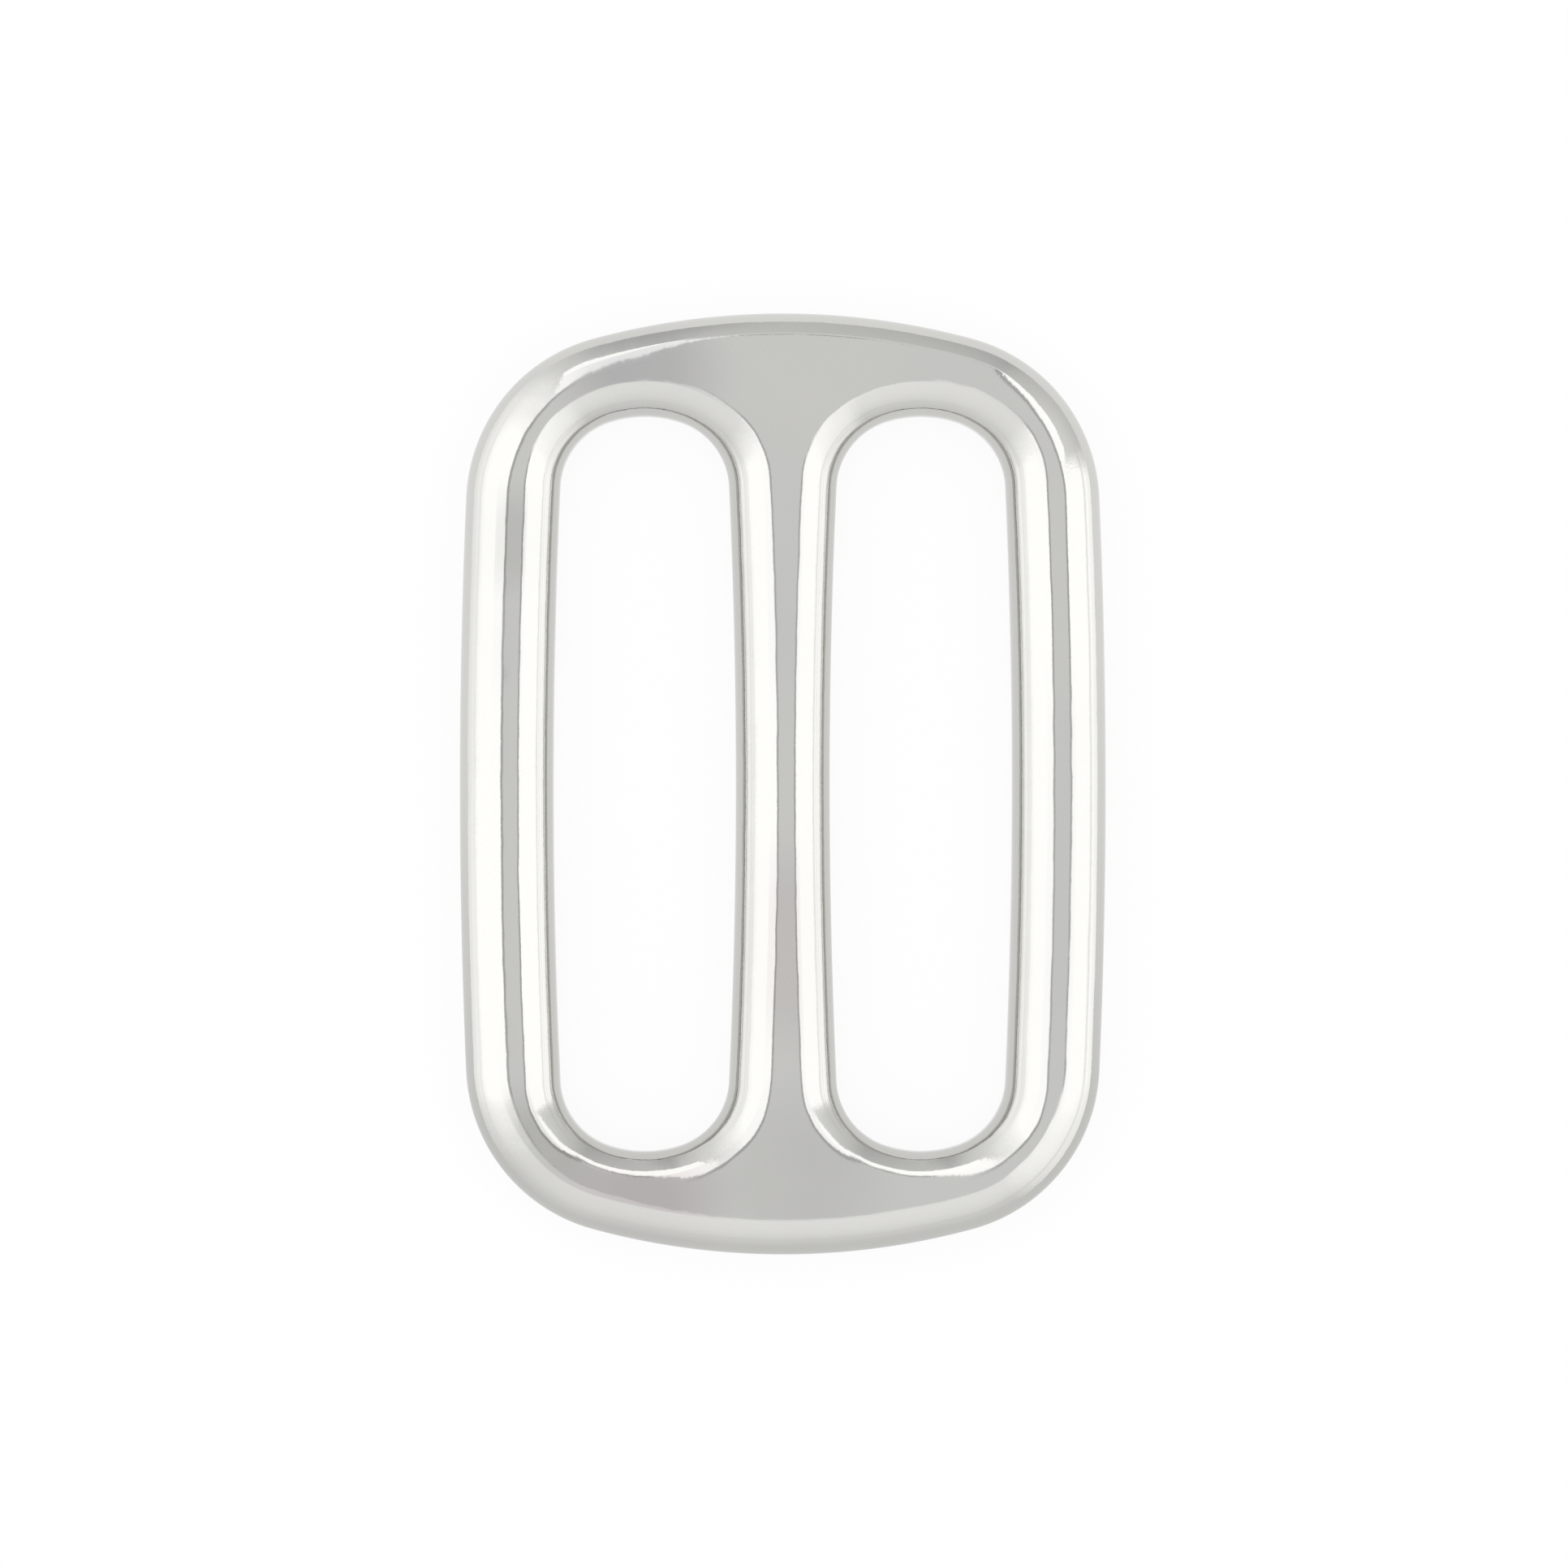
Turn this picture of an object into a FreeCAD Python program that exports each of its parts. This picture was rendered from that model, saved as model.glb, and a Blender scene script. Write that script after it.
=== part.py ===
import FreeCAD, Part
import math
import os
import Sketcher

# A slider for a strap: one polished metal casting with two long slots beside a centre bar.
# All sizes are in millimetres. The origin is the middle of the flat back. +Z points out of
# the rounded front, and +Y runs along the slots, which is across the width of the strap.

# The driving sizes, each with what it measures.
DRIVING_SIZES = {
    "webbing_width": (25.0, "the strap that the slots are made for"),
    "webbing_ease": (2.0, "spare length of a slot beyond the strap's width"),
    "slot_width": (6.70, "each slot at its middle"),
    "slot_side_crown": (0.25, "how far each long side of a slot bows out"),
    "slot_end_crown": (0.21, "how far each end of a slot bows out"),
    "slot_end_flat": (0.97, "the flatter stretch between the corners at a slot's end"),
    "centre_bar_width": (3.45, "the bar between the slots, at its middle"),
    "side_bar_width": (3.43, "the bar outside each slot, at its middle"),
    "end_rail_width": (3.77, "the rail beyond each end of the slots"),
    "outline_side_crown": (0.23, "how far each long side of the outline bows out"),
    "outline_end_crown": (0.93, "how far each end of the outline bows out"),
    "outline_corner_radius": (6.30, "the corners of the outline"),
    "thickness": (2.80, "from the flat back to the flat of the face"),
    "front_rounding": (1.45, "the round that rolls the face over into every wall"),
    "back_rounding": (0.45, "the small round along every edge of the back"),
    "mark_diameter": (1.60, "the shallow mark that each ejector pin leaves on the back"),
    "mark_depth": (0.08, "how deep each of those marks is"),
}

# A round takes at most this share of the narrowest wall beside it, and the front and the
# back round together take at most this share of the thickness.
ROUNDING_SHARE = 0.48
THICKNESS_SHARE = 0.96

# Lengths that follow from the driving sizes, as sums that the sheet's names stand in.
SLOT_LENGTH = "(Sizes.webbing_width + Sizes.webbing_ease)"
SLOT_OFFSET = "((Sizes.centre_bar_width + Sizes.slot_width) / 2)"
SLOT_CORNER = "(Sizes.slot_width / 2 - Sizes.slot_side_crown - Sizes.slot_end_flat / 2)"
HALF_WIDTH = "(Sizes.centre_bar_width / 2 + Sizes.slot_width + Sizes.side_bar_width)"
HALF_LENGTH = f"({SLOT_LENGTH} / 2 + Sizes.end_rail_width)"
MARK_OFFSET = f"({SLOT_LENGTH} / 2 + Sizes.end_rail_width / 2)"

# The wall where a slot's corner is nearest the outline's corner, from how far the centre of
# the slot's corner lies beyond that of the outline's.
BEYOND_X = (f"({SLOT_OFFSET} + (slot_outline.Constraints.corner_x"
            " - outline.Constraints.corner_x) / 1mm)")
BEYOND_Y = "((slot_outline.Constraints.corner_y - outline.Constraints.corner_y) / 1mm)"
BEYOND = (f"(min({BEYOND_X}; {BEYOND_Y}) > 0 ? hypot({BEYOND_X}; {BEYOND_Y})"
          f" : max({BEYOND_X}; {BEYOND_Y}))")
CORNER_WALL = f"(Sizes.outline_corner_radius - {SLOT_CORNER} - {BEYOND})"

# How large a round may be beside the narrowest wall, and by how much both rounds shrink
# where the thickness has no room for them.
NARROWEST_WALL = ("min(Sizes.centre_bar_width; Sizes.side_bar_width;"
                  f" Sizes.end_rail_width; {CORNER_WALL})")
ROUNDING_LIMIT = f"({ROUNDING_SHARE} * {NARROWEST_WALL})"
ROUNDING_FIT = (f"({THICKNESS_SHARE} * Sizes.thickness"
                " / (Sizes.front_rounding + Sizes.back_rounding))")

# The sketch's own axes, and the points of an arc or a circle, as constraints number them.
X_AXIS, Y_AXIS = range(-1, -3, -1)
START, END, CENTRE = range(1, 4)
ORIGIN = (X_AXIS, START)

# An outline's twelve arcs come in threes: the two of a side, and then those of a corner.
# These are the first arcs of its four sides.
SIDES = RIGHT, TOP, LEFT, BOTTOM = range(0, 12, 3)

# How often the angles of an outline's arcs are worked out anew before they settle.
SETTLING_ROUNDS = 100


def make_sheet(doc):
    """The sheet of driving sizes, one row each: its name, its value and what it measures."""
    sheet = doc.addObject("Spreadsheet::Sheet", "Sizes")
    for row, (name, (size, meaning)) in enumerate(DRIVING_SIZES.items(), start=1):
        sheet.set(f"A{row}", name)
        sheet.set(f"B{row}", str(size))
        sheet.setAlias(f"B{row}", name)
        sheet.set(f"C{row}", meaning)
    doc.recompute()


def origin_plane(body, role):
    """One of the body's own origin planes."""
    return next(plane for plane in body.Origin.OriginFeatures if plane.Role == role)


def new_sketch(body, name):
    """An empty sketch in the plane of the back, seen from the front."""
    sketch = body.newObject("Sketcher::SketchObject", name)
    sketch.AttachmentSupport = (origin_plane(body, "XY_Plane"), [""])
    sketch.MapMode = "FlatFace"
    return sketch


def hold(sketch, name, kind, geometry, size):
    """A named constraint whose value follows a sum of the sheet's names."""
    value = sketch.evalExpression(size)
    index = sketch.addConstraint(Sketcher.Constraint(kind, *geometry, value))
    sketch.renameConstraint(index, name)
    sketch.setExpression(f"Constraints.{name}", size)


def measure(sketch, name, kind, geometry, value):
    """A named constraint that holds nothing and only measures the sketch."""
    index = sketch.addConstraint(Sketcher.Constraint(kind, *geometry, value))
    sketch.setDriving(index, False)
    sketch.renameConstraint(index, name)


def lean_at_corner(crown, corner_radius, reach):
    """The angle that a bowed side has turned through where it runs into its corner arc.

    The side stands out by crown at its middle, and reach is the distance along it from
    there to the corner arc's centre.
    """
    lean = 0.0
    for _ in range(SETTLING_ROUNDS):
        run = reach + corner_radius * math.sin(lean)
        lean = (lean + 2 * math.atan2(crown, run)) / 2
    return lean


def outline_arcs(half_width, half_length, side_crown, end_crown, corner_radius):
    """Twelve arcs of a rounded rectangle whose sides bow out, anticlockwise from the right.

    Each side is two arcs that meet in its middle, and a corner arc follows it.
    """
    side_lean = 0.0
    for _ in range(SETTLING_ROUNDS):
        corner_x = half_width - side_crown - corner_radius * math.cos(side_lean)
        end_lean = lean_at_corner(end_crown, corner_radius, corner_x)
        corner_y = half_length - end_crown - corner_radius * math.cos(end_lean)
        side_lean = lean_at_corner(side_crown, corner_radius, corner_y)
    side_radius = side_crown / (1 - math.cos(side_lean))
    end_radius = end_crown / (1 - math.cos(end_lean))

    # Each side in turn: where it faces, its arcs' radius, how far out its middle is, its
    # lean at the corners, the next corner's centre, and the next side's lean there.
    sides = (
        ((1, 0), side_radius, half_width, side_lean, (corner_x, corner_y), end_lean),
        ((0, 1), end_radius, half_length, end_lean, (-corner_x, corner_y), side_lean),
        ((-1, 0), side_radius, half_width, side_lean, (-corner_x, -corner_y), end_lean),
        ((0, -1), end_radius, half_length, end_lean, (corner_x, -corner_y), side_lean),
    )
    up = FreeCAD.Vector(0, 0, 1)
    arcs = []
    for turn, (facing, radius, middle, lean, corner, next_lean) in enumerate(sides):
        heading = turn * math.pi / 2
        next_heading = heading + math.pi / 2
        side = Part.Circle(FreeCAD.Vector(*facing, 0) * (middle - radius), up, radius)
        bend = Part.Circle(FreeCAD.Vector(*corner, 0), up, corner_radius)
        arcs.append(Part.ArcOfCircle(side, heading - lean, heading))
        arcs.append(Part.ArcOfCircle(side, heading, heading + lean))
        arcs.append(Part.ArcOfCircle(bend, heading + lean, next_heading - next_lean))
    return arcs


def draw_outline(sketch, half_width, half_length, side_crown, end_crown, corner_radius):
    """A rounded rectangle with bowed sides, about the sketch's origin. Sizes are sums."""
    sums = (half_width, half_length, side_crown, end_crown, corner_radius)
    arcs = outline_arcs(*[sketch.evalExpression(size) for size in sums])
    sketch.addGeometry(arcs)
    for arc in range(len(arcs)):
        following = (arc + 1) % len(arcs)
        sketch.addConstraint(Sketcher.Constraint("Tangent", arc, END, following, START))

    # Like arcs have like radii: each side's two, opposite sides, and the four corners.
    corner, *other_corners = [side + 2 for side in SIDES]
    for side in SIDES:
        sketch.addConstraint(Sketcher.Constraint("Equal", side, side + 1))
    for side, opposite in ((RIGHT, LEFT), (TOP, BOTTOM)):
        sketch.addConstraint(Sketcher.Constraint("Equal", side, opposite))
    for other in other_corners:
        sketch.addConstraint(Sketcher.Constraint("Equal", corner, other))
    hold(sketch, "corner_radius", "Radius", (corner,), corner_radius)

    # Each side's middle, and the centre of its arcs, lie on an axis, and opposite middles
    # are as far from the origin.
    for side, opposite, axis in ((RIGHT, LEFT, X_AXIS), (TOP, BOTTOM, Y_AXIS)):
        sketch.addConstraint(Sketcher.Constraint("PointOnObject", side, CENTRE, axis))
        sketch.addConstraint(Sketcher.Constraint("PointOnObject", opposite, CENTRE, axis))
        sketch.addConstraint(Sketcher.Constraint("PointOnObject", side, END, axis))
        sketch.addConstraint(
            Sketcher.Constraint("Symmetric", side, END, opposite, END, *ORIGIN))
    hold(sketch, "half_width", "DistanceX", (*ORIGIN, RIGHT, END), half_width)
    hold(sketch, "half_length", "DistanceY", (*ORIGIN, TOP, END), half_length)
    hold(sketch, "side_crown", "DistanceX", (RIGHT, START, RIGHT, END), side_crown)
    hold(sketch, "end_crown", "DistanceY", (TOP, START, TOP, END), end_crown)
    centre = sketch.getPoint(corner, CENTRE)
    measure(sketch, "corner_x", "DistanceX", (*ORIGIN, corner, CENTRE), centre.x)
    measure(sketch, "corner_y", "DistanceY", (*ORIGIN, corner, CENTRE), centre.y)


def flat_face(shape, height):
    """The name of the level face at a height."""
    for number, face in enumerate(shape.Faces, start=1):
        middle = face.CenterOfMass
        if isinstance(face.Surface, Part.Plane) and abs(middle.z - height) < face.Tolerance:
            return f"Face{number}"
    raise ValueError(f"no level face at {height}")


def add_rounding(body, base, name, height, size):
    """Rounds every edge of the level face at a height, as far as the metal allows."""
    rounding = body.newObject("PartDesign::Fillet", name)
    rounding.Base = (base, [flat_face(base.Shape, height)])
    rounding.setExpression("Radius", f"min({size}; {ROUNDING_LIMIT}; {size} * {ROUNDING_FIT})")
    return rounding


def add_marks(body):
    """Two shallow round marks in the back, each in the middle of an end rail."""
    outlines = new_sketch(body, "mark_outlines")
    up = FreeCAD.Vector(0, 0, 1)
    radius = body.evalExpression("Sizes.mark_diameter / 2")
    offset = body.evalExpression(MARK_OFFSET)
    for y in (offset, -offset):
        outlines.addGeometry(Part.Circle(FreeCAD.Vector(0, y, 0), up, radius))
    outlines.addConstraint(Sketcher.Constraint("PointOnObject", 0, CENTRE, Y_AXIS))
    outlines.addConstraint(Sketcher.Constraint("Symmetric", 0, CENTRE, 1, CENTRE, *ORIGIN))
    outlines.addConstraint(Sketcher.Constraint("Equal", 0, 1))
    hold(outlines, "diameter", "Diameter", (0,), "Sizes.mark_diameter")
    hold(outlines, "offset", "DistanceY", (*ORIGIN, 0, CENTRE), MARK_OFFSET)
    marks = body.newObject("PartDesign::Pocket", "ejector_marks")
    marks.Profile = outlines
    marks.Reversed = True
    marks.setExpression("Length", "Sizes.mark_depth")
    return marks


def make_frame(doc):
    """The casting: plate, two slots, rolled front, eased back and two ejector marks."""
    body = doc.addObject("PartDesign::Body", "slider_frame")
    body.Label = "slider_frame"

    outline = new_sketch(body, "outline")
    draw_outline(outline, HALF_WIDTH, HALF_LENGTH, "Sizes.outline_side_crown",
                 "Sizes.outline_end_crown", "Sizes.outline_corner_radius")
    plate = body.newObject("PartDesign::Pad", "plate")
    plate.Profile = outline
    plate.setExpression("Length", "Sizes.thickness")
    doc.recompute()

    slot_outline = new_sketch(body, "slot_outline")
    slot_outline.setExpression("AttachmentOffset.Base.x", SLOT_OFFSET)
    draw_outline(slot_outline, "(Sizes.slot_width / 2)", f"({SLOT_LENGTH} / 2)",
                 "Sizes.slot_side_crown", "Sizes.slot_end_crown", SLOT_CORNER)
    slot = body.newObject("PartDesign::Pocket", "slot")
    slot.Profile = slot_outline
    slot.Type = "ThroughAll"
    slot.Reversed = True
    doc.recompute()

    other_slot = body.newObject("PartDesign::Mirrored", "other_slot")
    other_slot.Originals = [slot]
    other_slot.MirrorPlane = (origin_plane(body, "YZ_Plane"), [""])
    body.Tip = other_slot
    doc.recompute()

    thickness = body.evalExpression("Sizes.thickness")
    front = add_rounding(body, other_slot, "rolled_front", thickness, "Sizes.front_rounding")
    doc.recompute()
    back = add_rounding(body, front, "eased_back", 0, "Sizes.back_rounding")
    doc.recompute()

    marks = add_marks(body)
    doc.recompute()
    report_volumes((plate, slot, other_slot, front, back, marks))
    return body


def report_volumes(features):
    """Each step's volume. Every step after the first has to take some metal away."""
    before = None
    for feature in features:
        volume = feature.Shape.Volume
        print(f"{feature.Name}: {volume:.2f} mm3")
        if before is not None and volume >= before:
            raise ValueError(f"{feature.Name} cuts nothing")
        before = volume


def check(doc, bodies):
    """Stops the script before anything is written if a step or a solid has failed."""
    for item in doc.Objects:
        if "Invalid" in item.State or "Error" in item.State:
            raise ValueError(f"{item.Name} has failed")
        if item.isDerivedFrom("Sketcher::SketchObject") and not item.FullyConstrained:
            raise ValueError(f"{item.Name} is not fully constrained")
    for body in bodies:
        if body.Shape.isNull() or not body.Shape.isValid():
            raise ValueError(f"{body.Label} is not a sound solid")


doc = FreeCAD.newDocument("BuckleSlider")
make_sheet(doc)
bodies = [make_frame(doc)]
doc.recompute()
check(doc, bodies)

os.makedirs("parts", exist_ok=True)
for body in bodies:
    body.Shape.exportStep(f"parts/{body.Label}.step")
    box = body.Shape.optimalBoundingBox(False, False)
    print(f"{body.Label}: {box.XLength:.2f} x {box.YLength:.2f} x {box.ZLength:.2f} mm")
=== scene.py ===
# %% [markdown]
# # A cast strap slider
# A strap slider is the small metal frame that sets the length of a bag's strap. The strap
# goes up through one slot, over the centre bar and down through the other.
# This one is a zinc casting, polished and nickel plated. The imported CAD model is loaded
# first, because it fixes where everything is: each new piece is made around it, in metres.

import math

import bpy
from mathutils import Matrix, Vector


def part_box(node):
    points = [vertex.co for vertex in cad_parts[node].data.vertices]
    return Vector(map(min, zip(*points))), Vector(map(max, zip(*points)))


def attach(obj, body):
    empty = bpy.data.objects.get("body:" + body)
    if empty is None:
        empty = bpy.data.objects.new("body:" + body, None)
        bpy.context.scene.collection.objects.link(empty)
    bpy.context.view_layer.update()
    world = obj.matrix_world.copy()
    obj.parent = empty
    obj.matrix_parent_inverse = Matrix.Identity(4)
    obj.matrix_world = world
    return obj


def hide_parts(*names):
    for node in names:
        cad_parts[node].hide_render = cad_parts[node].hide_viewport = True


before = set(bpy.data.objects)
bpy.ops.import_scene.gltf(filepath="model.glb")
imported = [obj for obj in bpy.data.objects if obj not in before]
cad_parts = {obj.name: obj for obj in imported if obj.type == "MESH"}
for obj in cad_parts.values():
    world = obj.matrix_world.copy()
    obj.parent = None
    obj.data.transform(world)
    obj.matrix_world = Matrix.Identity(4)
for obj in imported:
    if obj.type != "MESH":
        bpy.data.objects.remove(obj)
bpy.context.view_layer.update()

# %% [markdown]
# ## The sizes
# Sizes are named in millimetres, and are turned into metres where they are used. The
# slider's length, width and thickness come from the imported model. Its bars, bows, corners,
# back rounds and marks have the same sizes as in the CAD source. The front round does too,
# until it is stretched to a reach and a drop that are the scene's own.

# %% Name the sizes
MM = 0.001
low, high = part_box("slider_frame")
HALF_WIDTH = high.x / MM
HALF_LENGTH = high.y / MM
THICKNESS = high.z / MM
SIDE_CROWN = 0.23
END_CROWN = 0.93
CORNER_RADIUS = 6.30

CENTRE_BAR = 3.45
SLOT_WIDTH = 6.70
SLOT_LENGTH = 27.0
SLOT_SIDE_CROWN = 0.25
SLOT_END_CROWN = 0.21
SLOT_END_FLAT = 0.97
SLOT_X = (CENTRE_BAR + SLOT_WIDTH) / 2
SLOT_CORNER = SLOT_WIDTH / 2 - SLOT_SIDE_CROWN - SLOT_END_FLAT / 2

FRONT_ROUND = 1.45
FRONT_REACH = 1.50
FRONT_DROP = 1.15
BACK_ROUND = 0.45
MARK_RADIUS = 0.8
MARK_DEPTH = 0.08
MARK_Y = (SLOT_LENGTH / 2 + HALF_LENGTH) / 2
# Points closer together than this count as one, and points this near a line are on it.
TOUCH = 0.0004
print(f"slider {2 * HALF_WIDTH:.2f} x {2 * HALF_LENGTH:.2f} x {THICKNESS:.2f} mm")

# %% [markdown]
# ## How the shape is drawn
# Every line of the slider is a run of circle arcs: a long side that bows out a little, a
# corner, and an end that bows out more. A draughtsman would draw it with a compass, and the
# Spin tool is Blender's compass. So the casting's edge section is drawn once, and then
# spun about each arc's centre in turn. This gives an exact band of clean quads, where a
# bevel on a finished plate would leave the band a little uneven at the corners.
# First come the centres and angles of the three arcs of one quarter. The leans of the side
# and of the end depend on each other, so both are worked out again until they settle.

# %% Work out a quarter's arcs
TRIES = 100


def lean_at_corner(crown, corner_radius, reach):
    """The angle that a bowed side has turned through where it meets its corner arc."""
    lean = 0.0
    for _ in range(TRIES):
        lean = (lean + 2 * math.atan2(crown, reach + corner_radius * math.sin(lean))) / 2
    return lean


def quarter_arcs(half_width, half_length, side_crown, end_crown, corner_radius):
    """(centre, radius, angle) of the side, corner and end arcs, from +X round to +Y."""
    side_lean = 0.0
    for _ in range(TRIES):
        corner_x = half_width - side_crown - corner_radius * math.cos(side_lean)
        end_lean = lean_at_corner(end_crown, corner_radius, corner_x)
        corner_y = half_length - end_crown - corner_radius * math.cos(end_lean)
        side_lean = lean_at_corner(side_crown, corner_radius, corner_y)
    side_radius = side_crown / (1 - math.cos(side_lean))
    end_radius = end_crown / (1 - math.cos(end_lean))
    return [((half_width - side_radius, 0), side_radius, side_lean),
            ((corner_x, corner_y), corner_radius, math.pi / 2 - side_lean - end_lean),
            ((0, half_length - end_radius), end_radius, end_lean)]


outline_arcs = quarter_arcs(HALF_WIDTH, HALF_LENGTH, SIDE_CROWN, END_CROWN, CORNER_RADIUS)
slot_arcs = quarter_arcs(SLOT_WIDTH / 2, SLOT_LENGTH / 2, SLOT_SIDE_CROWN, SLOT_END_CROWN,
                         SLOT_CORNER)
for name, arcs in (("outline", outline_arcs), ("slot", slot_arcs)):
    print(name, [f"{radius:.2f} mm, {math.degrees(angle):.2f} deg" for _, radius, angle in arcs])

# %% [markdown]
# ## The edge section
# From the flat of the face, the metal rolls over in a large round, drops straight down a
# short wall and ends in a much smaller round at the back. The section is drawn like this
# too: one point is spun into a quarter circle, extruded down the wall, and spun again.
# Polishing draws the large round out over the face and leaves it shallower than the CAD
# model's, so the quarter circle is stretched before the wall is added. A single vertex is
# the smallest thing that can be spun, so each section starts from a plane that is merged
# into one.

# %% Draw the section
FRONT_STEPS = 45
BACK_STEPS = 8


def choose(mesh, test):
    """Selects the vertices that pass a test of their place in mm, with the edges between."""
    bpy.ops.object.mode_set(mode="OBJECT")
    for vertex in mesh.vertices:
        vertex.select = bool(test(vertex.co / MM))
    for edge in mesh.edges:
        edge.select = all(mesh.vertices[corner].select for corner in edge.vertices)
    for face in mesh.polygons:
        face.select = False
    bpy.ops.object.mode_set(mode="EDIT")


def spin(centre, axis, angle, steps):
    """Spins what is selected about a centre in mm, right-handed. The last copy stays selected."""
    bpy.ops.mesh.spin(steps=steps, angle=-angle, center=[place * MM for place in centre],
                      axis=axis)


def draw_section(wall_x, into_metal):
    """The section in the XZ plane, with its wall at wall_x and the metal on one side of it."""
    bpy.ops.object.select_all(action="DESELECT")
    start = (wall_x + into_metal * FRONT_ROUND, 0, THICKNESS)
    bpy.ops.mesh.primitive_plane_add(size=MM, location=[place * MM for place in start])
    section = bpy.context.object
    bpy.ops.object.transform_apply(location=True, rotation=True, scale=True)
    bpy.ops.object.mode_set(mode="EDIT")
    bpy.ops.mesh.select_mode(type="VERT")
    bpy.ops.mesh.merge(type="CENTER")
    turn = (0, -into_metal, 0)
    spin((start[0], 0, THICKNESS - FRONT_ROUND), turn, math.pi / 2, FRONT_STEPS)
    bpy.ops.mesh.select_all(action="SELECT")
    bpy.ops.transform.resize(value=(FRONT_REACH / FRONT_ROUND, 1, FRONT_DROP / FRONT_ROUND),
                             center_override=(wall_x * MM, 0, THICKNESS * MM))
    choose(section.data, lambda spot: abs(spot.x - wall_x) < TOUCH)
    wall = THICKNESS - FRONT_DROP - BACK_ROUND
    bpy.ops.mesh.extrude_region_move(TRANSFORM_OT_translate={"value": (0, 0, -wall * MM)})
    spin((wall_x + into_metal * BACK_ROUND, 0, BACK_ROUND), turn, math.pi / 2, BACK_STEPS)
    bpy.ops.mesh.select_all(action="SELECT")
    return section


# %% [markdown]
# ## The bands round the outline and the slots
# The section goes round a quarter of the outline in three spins: the side, the corner and
# the end. The slot's band is made the same way, with the metal on its other side. A slot
# isn't in the middle of the slider, so the quarter holds half a slot: its second part is
# the first one mirrored about the slot's own middle.

# %% Spin the bands of one quarter
SIDE_STEPS = 24
CORNER_STEPS = 30
END_STEPS = 24
SLOT_END_STEPS = 8


def sweep(arcs, steps, centre_x):
    """Spins the selected section round a quarter of a line of arcs about centre_x."""
    for ((x, y), _, angle), count in zip(arcs, steps):
        spin((centre_x + x, y, 0), (0, 0, 1), angle, count)


casting = draw_section(HALF_WIDTH, -1)
casting.name = "slider_casting"
sweep(outline_arcs, (SIDE_STEPS, CORNER_STEPS, END_STEPS), 0)
bpy.ops.object.mode_set(mode="OBJECT")

slot_band = draw_section(SLOT_X + SLOT_WIDTH / 2, 1)
sweep(slot_arcs, (SIDE_STEPS, CORNER_STEPS, SLOT_END_STEPS), SLOT_X)
bpy.ops.mesh.select_all(action="SELECT")
bpy.ops.mesh.duplicate()
bpy.ops.transform.resize(value=(-1, 1, 1), center_override=(SLOT_X * MM, 0, 0))
bpy.ops.mesh.select_all(action="SELECT")
bpy.ops.mesh.remove_doubles(threshold=TOUCH * MM)
bpy.ops.object.mode_set(mode="OBJECT")
print("outline band:", len(casting.data.polygons), "faces; slot band:",
      len(slot_band.data.polygons), "faces")

# %% [markdown]
# ## All four quarters
# The slider is the same left and right and end to end, so one Mirror modifier, on two axes,
# makes the whole of its bands from the quarter.

# %% Mirror the quarter
def join(target, *others):
    """Joins other objects into one mesh."""
    bpy.ops.object.select_all(action="DESELECT")
    for item in (target, *others):
        item.select_set(True)
    bpy.context.view_layer.objects.active = target
    bpy.ops.object.join()


join(casting, slot_band)
mirror = casting.modifiers.new("both_ways", "MIRROR")
mirror.use_axis = (True, True, False)
mirror.merge_threshold = TOUCH * MM
bpy.ops.object.modifier_apply(modifier=mirror.name)
print("three whole bands:", len(casting.data.polygons), "faces")

# %% [markdown]
# ## Uneven polish
# Polishing isn't the same all round. The rounds that face left are drawn out furthest over
# the face. Along the far end the level face runs out to a rim, which shows as a thin dark
# line with no white over it, and fades out at both corners. In the slots the rounds of the
# long sides fall more steeply, those that face left most, and the trimming tool has left a
# fine groove there. No tool draws that, so vertices of the rounds are moved in code, up or
# down and straight towards or away from the arcs' own centres.

# %% Draw out the rounds
# How straight to the left or right a round faces where it starts to differ, and where it
# differs in full.
SIDE_FADE = (0.5, 1.0)
LEFT_STRETCH = 0.09
# In the slots the rounds that face right and left are deeper by these shares.
RIGHT_STEEPER = 0.09
LEFT_STEEPER = 0.24
# The groove runs this far round from the wall. Points near its line are pushed down.
TRIM_ANGLE = math.radians(48)
TRIM_LINE = FRONT_REACH * (1 - math.cos(TRIM_ANGLE))
TRIM_NEAR = 0.020
TRIM_DEPTH = 0.020
# At the rim, points further in than RIM_HIGH move out by RIM_SHIFT, and points nearer the
# wall than RIM_LOW move up by RIM_RISE.
RIM_LOW = 0.73
RIM_HIGH = 0.887
RIM_SHIFT = 0.15
RIM_RISE = 0.060
# Degrees round from the right: where the rim starts and where it is whole, at both its ends.
RIM_FADE = [(48, 70), (107, 95)]


def smooth(value, start, end):
    """A smooth step from 0 where the value is start to 1 where it is end."""
    share = min(max((value - start) / (end - start), 0), 1)
    return share * share * (3 - 2 * share)


def band_place(arcs, centre_x, x, y):
    """How far outside a line of arcs about centre_x a point is, and the way out there."""
    side_arc, corner_arc, end_arc = arcs
    corner, _, _ = corner_arc
    across, along = abs(x - centre_x), abs(y)
    facing = math.atan2(along - corner[1], across - corner[0])
    nearest = corner_arc
    if along < corner[1] or facing < side_arc[2]:
        nearest = side_arc
    elif across < corner[0] or facing > math.pi / 2 - end_arc[2]:
        nearest = end_arc
    middle, radius, _ = nearest
    arm = Vector((across - middle[0], along - middle[1]))
    way = Vector((math.copysign(arm.x, x - centre_x), math.copysign(arm.y, y)))
    return arm.length - radius, way.normalized()


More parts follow.
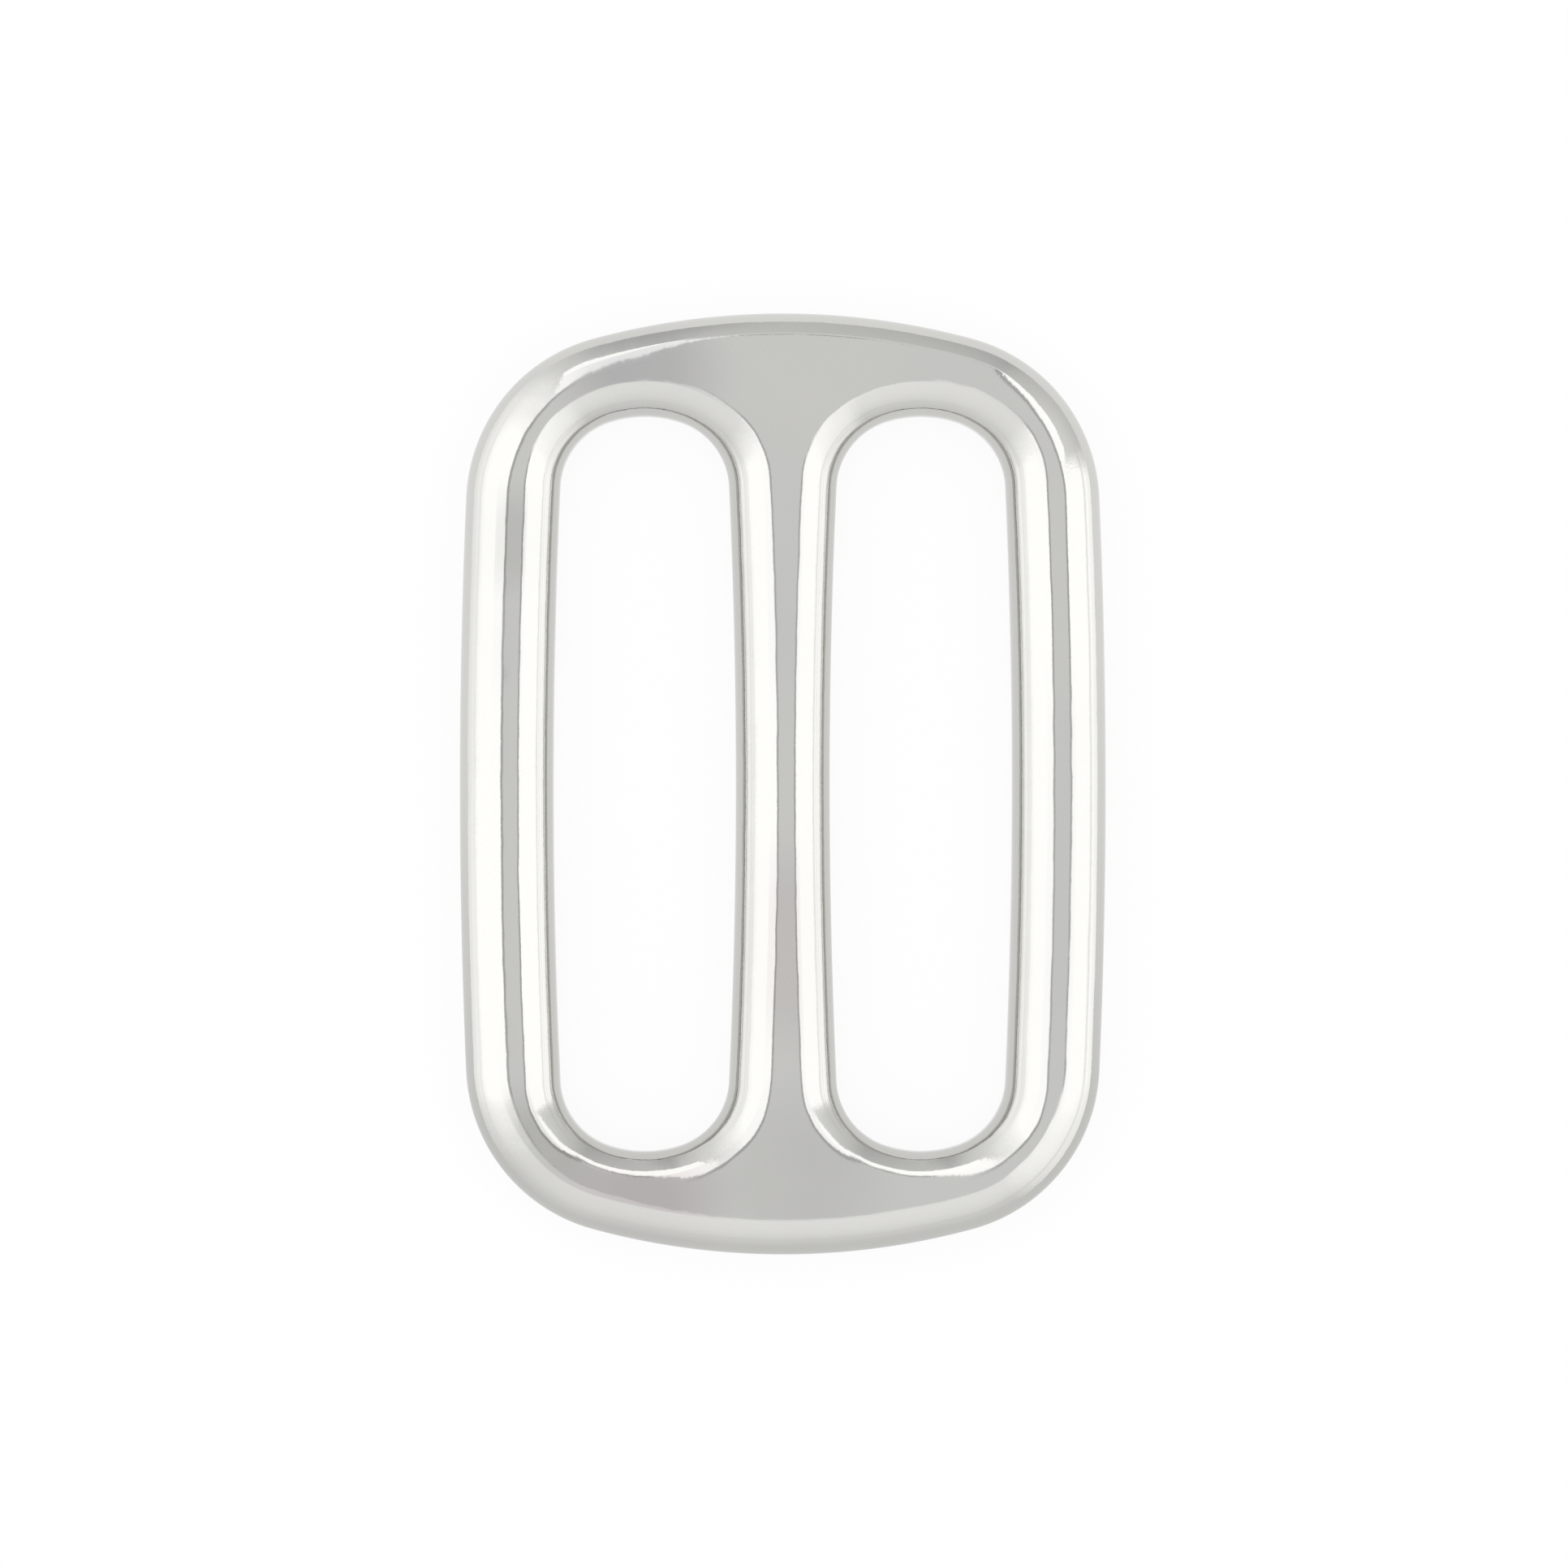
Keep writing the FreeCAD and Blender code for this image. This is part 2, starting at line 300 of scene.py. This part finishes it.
def uneven_polish(depth, drop, facing, is_outline):
    """How far a point, at its depth from the wall and drop below the face, goes in and up."""
    leftward = smooth(-facing.x, *SIDE_FADE)
    stretch = depth * LEFT_STRETCH * leftward
    if not is_outline:
        steeper = RIGHT_STEEPER * smooth(facing.x, *SIDE_FADE) + LEFT_STEEPER * leftward
        groove = abs(depth - TRIM_LINE) < TRIM_NEAR
        return stretch, -drop * steeper - groove * TRIM_DEPTH * smooth(abs(facing.x), *SIDE_FADE)
    if facing.y < 0:
        return stretch, 0
    fade = 1
    for start, end in RIM_FADE:
        fade *= smooth(math.degrees(math.atan2(facing.y, facing.x)), start, end)
    above_rim = min(max((depth - RIM_LOW) / (RIM_HIGH - RIM_LOW), 0), 1)
    return stretch - RIM_SHIFT * above_rim * fade, RIM_RISE * (1 - above_rim) * fade


# Each band: its arcs, its middle, and whether the metal is outside (1) or inside (-1) it.
BANDS = [(outline_arcs, 0, -1), (slot_arcs, SLOT_X, 1), (slot_arcs, -SLOT_X, 1)]
moved = 0
for vertex in casting.data.vertices:
    x, y, z = vertex.co / MM
    if z < THICKNESS - FRONT_DROP - TOUCH:
        continue
    for arcs, centre_x, side in BANDS:
        out, way = band_place(arcs, centre_x, x, y)
        if -TOUCH < out * side < FRONT_REACH + TOUCH:
            drawn, raised = uneven_polish(out * side, THICKNESS - z, -side * way,
                                          arcs is outline_arcs)
            vertex.co.xy += way * side * drawn * MM
            vertex.co.z += raised * MM
            moved += abs(drawn) + abs(raised) > TOUCH
            break
print("rounds drawn out with", moved, "vertices")

# %% [markdown]
# ## The level faces
# Front and back are level, and each has three rims: the outline's and one for each slot.
# Bridging would need as many points on one side as on the other, and would make slivers
# where the two pass close by. The Fill tool closes a level face with holes in one go. Then
# doubles along the mirror's seams are merged, and all normals are turned outwards.

# %% Fill the front and the back
for face_z in (THICKNESS, 0):
    before = len(casting.data.polygons)
    choose(casting.data, lambda spot: abs(spot.z - face_z) < TOUCH)
    bpy.ops.mesh.select_mode(type="EDGE")
    bpy.ops.mesh.fill(use_beauty=True)
    bpy.ops.mesh.select_mode(type="VERT")
    bpy.ops.object.mode_set(mode="OBJECT")
    print(f"level face at {face_z:.2f} mm: {len(casting.data.polygons) - before} triangles")
bpy.ops.object.mode_set(mode="EDIT")
bpy.ops.mesh.select_all(action="SELECT")
bpy.ops.mesh.remove_doubles(threshold=TOUCH * MM)
bpy.ops.mesh.normals_make_consistent(inside=False)
bpy.ops.object.mode_set(mode="OBJECT")
print("casting:", len(casting.data.vertices), "vertices,", len(casting.data.polygons), "faces")

# %% [markdown]
# ## Two marks on the back
# A casting is pushed out of its mould by pins, and each pin leaves a shallow round mark on
# the back, where nobody looks. Two short cylinders are cut out of the back with a Boolean
# modifier, in the same places as in the CAD model.

# %% Cut the ejector marks
MARK_SIDES = 48


def cut_mark(target, y):
    """Cuts one round mark into the back, with its middle on the Y axis."""
    bpy.ops.object.select_all(action="DESELECT")
    bpy.ops.mesh.primitive_cylinder_add(
        vertices=MARK_SIDES, radius=MARK_RADIUS * MM, depth=2 * MARK_DEPTH * MM,
        location=(0, y * MM, 0))
    pin = bpy.context.object
    cut = target.modifiers.new("ejector_mark", "BOOLEAN")
    cut.operation = "DIFFERENCE"
    cut.solver = "EXACT"
    cut.object = pin
    bpy.context.view_layer.objects.active = target
    bpy.ops.object.modifier_apply(modifier=cut.name)
    bpy.data.objects.remove(pin)


for y in (MARK_Y, -MARK_Y):
    cut_mark(casting, y)
print("with its marks:", len(casting.data.polygons), "faces")

# %% [markdown]
# ## Smooth rounds and truly level faces
# Polished metal shows every mistake in its normals, because each one bends a reflection.
# Smooth shading alone would tip the normals at the rim of a level face. So the level faces
# and the walls are marked as strong, and a Weighted Normal modifier lets strong faces
# decide the normals that they share with the rounds.

# %% Shade the casting
FLAT_ENOUGH = 0.9999
SHARP_ANGLE = math.radians(40)


def is_plain(normal):
    """True where a face is level or upright, and so no part of a round."""
    return abs(normal.z) > FLAT_ENOUGH or abs(normal.z) < 1 - FLAT_ENOUGH


bpy.ops.object.select_all(action="DESELECT")
casting.select_set(True)
bpy.ops.object.shade_smooth_by_angle(angle=SHARP_ANGLE)
bpy.ops.object.mode_set(mode="EDIT")
bpy.ops.mesh.select_mode(type="FACE")
for plain, strength in ((False, "WEAK"), (True, "STRONG")):
    bpy.ops.mesh.select_all(action="DESELECT")
    bpy.ops.object.mode_set(mode="OBJECT")
    for face in casting.data.polygons:
        face.select = is_plain(face.normal) == plain
    bpy.ops.object.mode_set(mode="EDIT")
    bpy.ops.mesh.mod_weighted_strength(set=True, face_strength=strength)
bpy.ops.object.mode_set(mode="OBJECT")
weigh = casting.modifiers.new("level_faces_win", "WEIGHTED_NORMAL")
weigh.use_face_influence = True
weigh.keep_sharp = True
bpy.ops.object.modifier_apply(modifier=weigh.name)

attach(casting, "root")
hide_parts("slider_frame")
print("slider_casting rides on root and stands for slider_frame")

# %% [markdown]
# ## Small helpers for node trees
# A procedural material is a chain of small sums. Three short functions add a Math node, a
# smooth step and a mix, so that the cells below read like the sums that they stand for. Two
# more start a material and fill a socket.

# %% Helpers that add nodes
def new_material(name):
    """An empty node material, its nodes and its links."""
    material = bpy.data.materials.new(name)
    material.use_nodes = True
    material.node_tree.nodes.clear()
    return material, material.node_tree.nodes, material.node_tree.links


def feed(links, slot_in, value):
    """Sets a socket to a number or a tuple, or links it to the socket that it comes from."""
    if isinstance(value, bpy.types.NodeSocket):
        links.new(value, slot_in)
    else:
        slot_in.default_value = value


def add_math(nodes, links, operation, *values):
    """A Math node on numbers or sockets."""
    node = nodes.new("ShaderNodeMath")
    node.operation = operation
    for slot_in, value in zip(node.inputs, values):
        feed(links, slot_in, value)
    return node.outputs[0]


def add_step(nodes, links, value, start, end, low=0.0, high=1.0):
    """A smooth step of a value, from low at start to high at end."""
    node = nodes.new("ShaderNodeMapRange")
    node.interpolation_type = "SMOOTHSTEP"
    for name, number in (("Value", value), ("From Min", start), ("From Max", end),
                         ("To Min", low), ("To Max", high)):
        feed(links, node.inputs[name], number)
    return node.outputs["Result"]


def add_mix(nodes, links, factor, low, high):
    """A mix of two numbers or sockets by a factor. A Mix node has numbers in 2 and 3."""
    node = nodes.new("ShaderNodeMix")
    for slot_in, value in zip((node.inputs[0], node.inputs[2], node.inputs[3]),
                              (factor, low, high)):
        feed(links, slot_in, value)
    return node.outputs[0]


# %% [markdown]
# ## Nickel plate
# Nickel is a slightly warm silver. A metal's colour sits on the Base Color of a Principled
# shader with Metallic at 1. Hand polishing leaves the surface gently wavy, which bends the
# edges of the reflections, and finely rippled, which frays them. Two noises make them, and
# together drive a Bump node. The level faces are polished on a flat wheel, so their ripple is
# lower.

# %% Make the polished surface
NICKEL = (0.65, 0.646, 0.624)
WAVE_SIZE = 2.6
WAVE_HEIGHT = 0.030
RIPPLE_SIZE = 0.16
RIPPLE_HEIGHT = 0.0018
NOISE_DETAIL = 2.0
# How far up a face has to look, from 0 to 1, before it starts to count as level.
LEVEL_FROM = 0.95
LEVEL_RIPPLE = 0.38

plating, nodes, links = new_material("nickel_plate")
output = nodes.new("ShaderNodeOutputMaterial")
shader = nodes.new("ShaderNodeBsdfPrincipled")
shader.inputs["Metallic"].default_value = 1.0
links.new(shader.outputs["BSDF"], output.inputs["Surface"])
place = nodes.new("ShaderNodeTexCoord").outputs["Object"]


def add_noise(size):
    """A noise with features of a size in mm, on the plating's Object coordinates."""
    node = nodes.new("ShaderNodeTexNoise")
    node.inputs["Scale"].default_value = 1 / (size * MM)
    node.inputs["Detail"].default_value = NOISE_DETAIL
    links.new(place, node.inputs["Vector"])
    return node.outputs["Fac"]


normal = nodes.new("ShaderNodeSeparateXYZ")
links.new(nodes.new("ShaderNodeNewGeometry").outputs["Normal"], normal.inputs[0])
level = add_step(nodes, links, normal.outputs["Z"], LEVEL_FROM, 1.0)
ripple_share = add_mix(nodes, links, level, 1.0, LEVEL_RIPPLE)
ripple = add_math(nodes, links, "MULTIPLY", add_noise(RIPPLE_SIZE), ripple_share)
height = add_math(nodes, links, "MULTIPLY", ripple, RIPPLE_HEIGHT / WAVE_HEIGHT)
height = add_math(nodes, links, "ADD", height, add_noise(WAVE_SIZE))
bump = nodes.new("ShaderNodeBump")
bump.inputs["Distance"].default_value = WAVE_HEIGHT * MM
links.new(height, bump.inputs["Height"])
links.new(bump.outputs["Normal"], shader.inputs["Normal"])
casting.data.materials.clear()
casting.data.materials.append(plating)

# %% [markdown]
# ## Tone, grain and painted shade
# Plating isn't quite even. A broad noise makes it a little darker here and there, and a fine
# one gives it grain. Soft spots are painted shade: they darken the level faces where these
# reflect darker, and two low down are also pinkish. Each is a factor on the nickel's colour.
# All but the grain lie mostly on the level faces and on what leans a little to the far end,
# and the rounds keep only a small share. The broad noise also varies the roughness.

# %% Tint the plating
# Each painted shade spot has its middle and radius in mm, and the share of red, green and blue it
# keeps.
SHADE_SPOTS = [((-5.2, 15.2), 3.9, (0.80, 0.80, 0.82)), ((-5.2, -15.4), 4.0, (0.80, 0.765, 0.785)),
         ((-8.9, -13.4), 3.0, (0.80, 0.80, 0.79)), ((-9.9, 8.9), 2.6, (0.87, 0.87, 0.87)),
         ((0.1, -6.0), 5.0, (0.93, 0.905, 0.905)), ((0.6, -14.4), 4.5, (0.92, 0.92, 0.92))]
# A painted shade spot is whole within this share of its radius.
SHADE_SPOT_CORE = 0.2
BROAD_SIZE = 7.0
BROAD_FROM = 0.35
BROAD_FULL = 0.75
BROAD_DEPTH = 0.04
BROAD_BLUE = 0.7
GRAIN_SIZE = 0.10
GRAIN_DEPTH = 0.03
# How far up a face has to look before it takes the tone and the painted shade, and takes them
# in full. Looking to the far end counts a little, and the rounds keep a small share of each.
TONE_AND_SHADE_FROM = 0.974
TONE_AND_SHADE_FULL = 0.984
FAR_SHARE = 0.10
ROUND_SHARE = 0.15
# The broad noise between these two values takes the plating from smoothest to roughest.
ROUGH_FROM = 0.3
ROUGH_FULL = 0.7
SMOOTHEST = 0.05
ROUGHEST = 0.09


def add_tint(colour, factor, tint):
    """A colour times a tint, as far as a factor says. A Mix node has colours in 6 and 7."""
    node = nodes.new("ShaderNodeMix")
    node.data_type = "RGBA"
    node.blend_type = "MULTIPLY"
    for slot_in, value in zip((node.inputs[0], node.inputs[6], node.inputs[7]),
                              (factor, colour, tint)):
        feed(links, slot_in, value)
    return node.outputs[2]


broad = add_noise(BROAD_SIZE)
grain = add_noise(GRAIN_SIZE)
lean = add_math(nodes, links, "MULTIPLY_ADD", normal.outputs["Y"], FAR_SHARE,
                normal.outputs["Z"])
tone_and_shade_share = add_step(nodes, links, lean, TONE_AND_SHADE_FROM, TONE_AND_SHADE_FULL, ROUND_SHARE, 1.0)
share = add_math(nodes, links, "MULTIPLY",
                 add_step(nodes, links, broad, BROAD_FROM, BROAD_FULL), tone_and_shade_share)
colour = add_tint((*NICKEL, 1), share,
                  (1 - BROAD_DEPTH, 1 - BROAD_DEPTH, 1 - BROAD_BLUE * BROAD_DEPTH, 1))
colour = add_tint(colour, grain, (*[1 - GRAIN_DEPTH] * 3, 1))
# Painted shade: each spot darkens the nickel's colour where the level faces reflect darker.
for middle, radius, kept in SHADE_SPOTS:
    reach = nodes.new("ShaderNodeVectorMath")
    reach.operation = "DISTANCE"
    links.new(place, reach.inputs[0])
    reach.inputs[1].default_value = (middle[0] * MM, middle[1] * MM, THICKNESS * MM)
    share = add_step(nodes, links, reach.outputs["Value"], radius * MM, SHADE_SPOT_CORE * radius * MM)
    share = add_math(nodes, links, "MULTIPLY", share, tone_and_shade_share)
    colour = add_tint(colour, share, (*kept, 1))
links.new(colour, shader.inputs["Base Color"])
links.new(add_step(nodes, links, broad, ROUGH_FROM, ROUGH_FULL, SMOOTHEST, ROUGHEST),
          shader.inputs["Roughness"])
print("nickel_plate has", len(nodes), "nodes")

# %% [markdown]
# ## The table that it lies on
# The slider lies on a plain pale floor. The floor reflects light like white paper, and to
# the camera, to metal and to glass it also glows a little, so that it shows as white and
# still keeps a faint shadow. In metal its near side is darkened with painted shade, as where a
# photographer leans over a table, and so is what shows through the slots, as where it gets less
# light.

# %% Lay the floor
FLOOR_SIZE = 6000
FLOOR_DROP = 0.02
PAPER = (0.9, 0.9, 0.9, 1)
FLOOR_GLOW = 0.90
GLOW_IN_METAL = 0.84
# The painted shade on the floor's near side is deepest up to one Y, and gone from the other.
NEAR_SHADE = 0.77
SHADE_FULL_TO_Y = -19
WHITE_FROM_Y = 6
# Seen only in metal, painted shade darkens the floor under the slots to this share.
SLOT_SHADE = 0.88

bpy.ops.mesh.primitive_plane_add(size=FLOOR_SIZE * MM, location=(0, 0, -FLOOR_DROP * MM))
floor = bpy.context.object
floor.name = "floor"
paper, nodes, links = new_material("white_paper")
output = nodes.new("ShaderNodeOutputMaterial")
matt = nodes.new("ShaderNodeBsdfDiffuse")
matt.inputs["Color"].default_value = PAPER
glow = nodes.new("ShaderNodeEmission")
mix = nodes.new("ShaderNodeMixShader")
rays = nodes.new("ShaderNodeLightPath").outputs
seen = add_math(nodes, links, "MAXIMUM", rays["Is Camera Ray"], rays["Is Transmission Ray"])
seen = add_math(nodes, links, "MULTIPLY", seen, FLOOR_GLOW)
in_metal = add_math(nodes, links, "MULTIPLY", rays["Is Glossy Ray"], GLOW_IN_METAL)
links.new(add_math(nodes, links, "MAXIMUM", seen, in_metal), mix.inputs["Fac"])
spot = nodes.new("ShaderNodeSeparateXYZ")
links.new(nodes.new("ShaderNodeTexCoord").outputs["Object"], spot.inputs[0])
# Painted shade on the floor, seen only in metal: darker at the near side and under the slots.
shade = add_step(nodes, links, spot.outputs["Y"], SHADE_FULL_TO_Y * MM, WHITE_FROM_Y * MM,
                 NEAR_SHADE, 1.0)
# The painted shade in the slots fades out between their edges and the slider's.
beside = add_step(nodes, links, add_math(nodes, links, "ABSOLUTE", spot.outputs["X"]),
                  (SLOT_X + SLOT_WIDTH / 2) * MM, HALF_WIDTH * MM)
beyond = add_step(nodes, links, add_math(nodes, links, "ABSOLUTE", spot.outputs["Y"]),
                  SLOT_LENGTH / 2 * MM, HALF_LENGTH * MM)
outside = add_math(nodes, links, "MAXIMUM", beside, beyond)
shade = add_mix(nodes, links, outside, SLOT_SHADE, shade)
links.new(add_math(nodes, links, "MAXIMUM", rays["Is Camera Ray"], shade),
          glow.inputs["Strength"])
links.new(matt.outputs["BSDF"], mix.inputs[1])
links.new(glow.outputs["Emission"], mix.inputs[2])
links.new(mix.outputs["Shader"], output.inputs["Surface"])
floor.data.materials.append(paper)

# %% [markdown]
# ## The light
# A shiny thing shows what stands round it, so its light is a tent of white cloth and cards,
# painted on the World by direction. White cards at the left and the right make the long
# bright bands. The near side is pale, and the far side is grey under a white canopy.
# Straight above is a gap in the cloth, and that is the grey which the level faces show. It
# has a thin dark frame, which is open at the near side, paler and narrower at the far left
# corner, and soft at the far side, where the ripple would fret a sharp edge. A height in
# the tent is the upward part of a direction, so straight above is 1.
# A colour ramp runs round the horizon and holds the cards: its red is the brightness at the
# floor, its green the brightness higher up, its blue the height at which the white canopy
# starts and its alpha a darker sill.

# %% Name the cards
# No card is brighter than WHITE_CARD. BRIGHTEST scales them all to fit a ramp.
WHITE_CARD = 1.56
BRIGHTEST = 2.0
# Degrees round from the right: brightness at the floor and above, canopy and sill.
CARDS = [(-180, 1.22, 1.80, 1, 0.25), (-168, 1.16, 1.74, 1, 0.25),
         (-160, 1.04, 1.46, 1, 0.2), (-152, 0.98, 1.30, 1, 0.1), (-141, 0.86, 1.11, 1, 0),
         (-128, 0.86, 1.09, 1, 0), (-58, 0.81, 1.15, 1, 0.2), (-48, 1.08, 1.34, 1, 0.3),
         (-40, 1.20, 1.38, 1, 0.4), (-22, 1.27, 1.52, 1, 0.4), (-12, 1.34, 1.72, 1, 0.5),
         (-5, 1.38, BRIGHTEST, 1, 0.65),
         (12, 1.38, BRIGHTEST, 1, 0.65), (18, 0.95, 1.12, 0.87, 0.3), (22, 0.80, 0.99, 0.82, 0),
         (33, 0.78, 0.98, 0.75, 0), (43, 0.78, 0.88, 0.74, 0), (50, 0.74, 0.80, 0.70, 0),
         (58, 0.59, 0.70, 0.64, 0), (75, 0.66, 0.76, 0.62, 0), (90, 0.75, 0.78, 0.62, 0),
         (97, 0.62, 0.88, 0.62, 0), (103, 0.58, 0.70, 0.64, 0), (109, 0.75, 0.90, 0.65, 0),
         (118, 0.89, 0.94, 0.68, 0), (124, 0.97, 1.07, 0.87, 0), (129, 1.03, 1.23, 1, 0),
         (140, 1.19, 1.42, 1, 0.1), (155, 1.18, 1.72, 1, 0.3)]
# The height at which the upper brightness is reached.
CARD_RISE = 1.0
# The sill's lower edge, middle and upper edge.
SILL = (0.34, 0.43, 0.52)
SILL_GREY = 0.62
CANOPY_BLUR = 0.02
print("the tent has", len(CARDS), "cards")

# %% Name the gap and its frame
GAP_GREY = 0.88
GAP_BLUR = 0.01
FRAME_GREY = 0.55
FRAME_ANGLE = math.radians(3.8)
# Of a direction, the part up the photograph where the frame starts, and where it is whole.
FRAME_START = (-0.12, -0.02)
# The same for the pale corner, and the part across, which is below 0 on the left.
PALE_UP = (0.1, 0.22)
PALE_LEFT = (-0.02, -0.05)
PALE_NARROWER = 0.4
# The same for the frame's soft far side, and how soft its outer edge is at both.
SOFT_UP = (0.45, 0.57)
SOFT_BLUR = (0.005, 0.05)
# The gap's corners: how far right and how far up the photograph, for each unit of height.
GAP = [(0.14, -0.24), (0.37, 0.63), (0.22, 0.73), (-0.01, 0.70), (-0.065, 0.59), (-0.085, 0.46),
       (-0.083, 0.28), (-0.077, 0.1), (-0.02, -0.24)]
print("the gap has", len(GAP), "corners")

# %% [markdown]
# ## Painting the tent
# Each direction gets its brightness in turn from the cards, the sill across them, the canopy
# over them, the gap's frame and the gap itself. Each is mixed over the one before it. The
# camera sees none of this, only plain white.

# %% Paint the tent
world = bpy.data.worlds.new("light_tent")
bpy.context.scene.world = world
world.use_nodes = True
nodes, links = world.node_tree.nodes, world.node_tree.links
background = next(node for node in nodes if node.type == "BACKGROUND")
direction = nodes.new("ShaderNodeTexCoord").outputs["Generated"]
parts = nodes.new("ShaderNodeSeparateXYZ")
links.new(direction, parts.inputs[0])
across, along, height = parts.outputs
turn = add_math(nodes, links, "ARCTAN2", along, across)
# Half a turn either way from the right goes from 0 to 1 on the ramp.
ring = nodes.new("ShaderNodeValToRGB")
links.new(add_math(nodes, links, "MULTIPLY_ADD", turn, 0.5 / math.pi, 0.5), ring.inputs["Fac"])
while len(ring.color_ramp.elements) < len(CARDS):
    ring.color_ramp.elements.new(1.0)
for element, (angle, at_floor, above, canopy, sill) in zip(ring.color_ramp.elements, CARDS):
    element.position = angle / 360 + 0.5
    element.color = (at_floor / BRIGHTEST, above / BRIGHTEST, canopy, sill)
cards = nodes.new("ShaderNodeSeparateColor")
links.new(ring.outputs["Color"], cards.inputs[0])
at_floor, above, canopy = cards.outputs


def add_inside(corners):
    """How far inside a polygon overhead a direction is, as a sine. Outside is below 0."""
    inside = None
    for (x0, y0), (x1, y1) in zip(corners, corners[1:] + corners[:1]):
        side = nodes.new("ShaderNodeVectorMath")
        side.operation = "DOT_PRODUCT"
        links.new(direction, side.inputs[0])
        side.inputs[1].default_value = Vector((x0, y0, 1)).cross((x1, y1, 1)).normalized()
        reach = side.outputs["Value"]
        inside = reach if inside is None else add_math(nodes, links, "MINIMUM", inside, reach)
    return inside


tent = add_mix(nodes, links, add_step(nodes, links, height, 0.0, CARD_RISE), at_floor, above)
tent = add_math(nodes, links, "MULTIPLY", tent, BRIGHTEST)
tent = add_math(nodes, links, "MINIMUM", tent, WHITE_CARD)
on_sill = add_math(nodes, links, "MULTIPLY", add_step(nodes, links, height, *SILL[:2]),
                   add_step(nodes, links, height, SILL[2], SILL[1]))
on_sill = add_math(nodes, links, "MULTIPLY", on_sill, ring.outputs["Alpha"])
tent = add_math(nodes, links, "MULTIPLY", tent,
                add_mix(nodes, links, on_sill, 1.0, SILL_GREY))
over_edge = add_math(nodes, links, "SUBTRACT", height, canopy)
tent = add_mix(nodes, links, add_step(nodes, links, over_edge, 0.0, CANOPY_BLUR),
               tent, WHITE_CARD)
inside = add_inside(GAP)
pale_corner = add_math(nodes, links, "MULTIPLY", add_step(nodes, links, along, *PALE_UP),
                       add_step(nodes, links, across, *PALE_LEFT))
reach = add_math(nodes, links, "MULTIPLY_ADD", pale_corner, -PALE_NARROWER * FRAME_ANGLE, inside)
blur = add_step(nodes, links, along, *SOFT_UP, *SOFT_BLUR)
framed = add_step(nodes, links, reach,
                  add_math(nodes, links, "SUBTRACT", -FRAME_ANGLE, blur),
                  add_math(nodes, links, "ADD", -FRAME_ANGLE, blur))
framed = add_math(nodes, links, "MULTIPLY", framed,
                  add_step(nodes, links, along, *FRAME_START))
tent = add_mix(nodes, links, framed, tent,
               add_mix(nodes, links, pale_corner, FRAME_GREY, GAP_GREY))
tent = add_mix(nodes, links, add_step(nodes, links, inside, -GAP_BLUR, GAP_BLUR),
               tent, GAP_GREY)
seen = nodes.new("ShaderNodeLightPath").outputs["Is Camera Ray"]
links.new(add_mix(nodes, links, seen, tent, 1.0), background.inputs["Strength"])
background.inputs["Color"].default_value = (1, 1, 1, 1)
print("light_tent has", len(nodes), "nodes")

# %% [markdown]
# ## The camera
# The photograph looks straight down with a long lens. The slider is 23.7 mm wide and takes
# 795 of the picture's 1932 pixels, which sets the width of the frame, and the lens then
# sets the distance. The slider isn't quite in the middle of the picture, so the camera is a
# few hundredths of a millimetre to one side of it.

# %% Place the camera
PHOTO_PIXELS = 1932
SLIDER_PIXELS = 795.4
MM_PER_PIXEL = 2 * HALF_WIDTH / SLIDER_PIXELS
LENS = 300.0
SENSOR = 36.0
CAMERA_X = 0.045
CAMERA_Y = -0.003
# What is nearer or further than these isn't drawn.
NEAREST = 10
FURTHEST = 20000
frame_width = PHOTO_PIXELS * MM_PER_PIXEL
distance = frame_width * LENS / SENSOR
bpy.ops.object.camera_add(
    location=(CAMERA_X * MM, CAMERA_Y * MM, (distance + THICKNESS - FRONT_ROUND) * MM),
    rotation=(0, 0, 0))
camera = bpy.context.object
camera.data.lens = LENS
camera.data.sensor_width = SENSOR
camera.data.clip_start = NEAREST * MM
camera.data.clip_end = FURTHEST * MM
bpy.context.scene.camera = camera
bpy.context.scene.view_settings.view_transform = "Standard"
print(f"camera {distance:.0f} mm away, frame {frame_width:.2f} mm wide")
